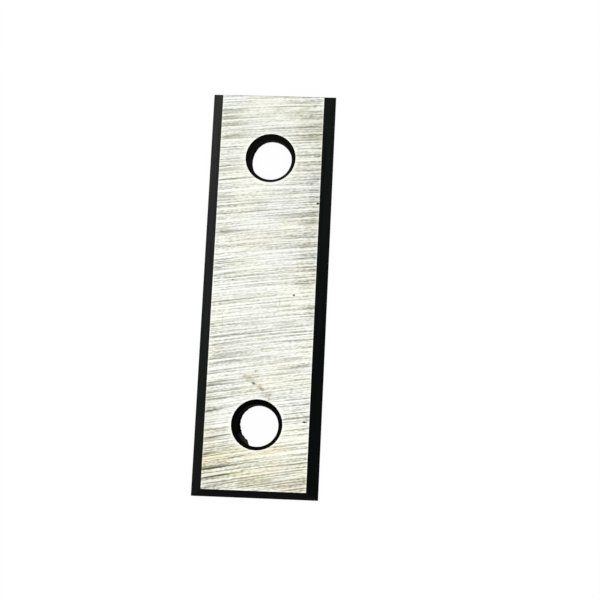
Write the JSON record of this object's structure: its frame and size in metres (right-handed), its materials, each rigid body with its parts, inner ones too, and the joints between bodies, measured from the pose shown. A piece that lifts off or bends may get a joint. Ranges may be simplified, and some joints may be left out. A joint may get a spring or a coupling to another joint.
{
  "type": "reversible carbide knife",
  "caption": "Thin oblong sintered carbide knife, ground bright, with full-thickness cutting bevels along its long sides, relieved ends and cone-mouthed screw holes on its centre line.",
  "frame": {"origin": "centre of the wide rake face, which the knife lies on, midway between the screw holes", "axes": "+X across the blade from one cutting edge to the other, +Y along the blade, +Z out of the narrow face"},
  "size_m": [0.012, 0.0396, 0.0015],
  "materials": {
    "knife": "ground, with fine curved scratches"
  },
  "bodies": {
    "root": {"knife": "knife"}
  },
  "joints": []
}
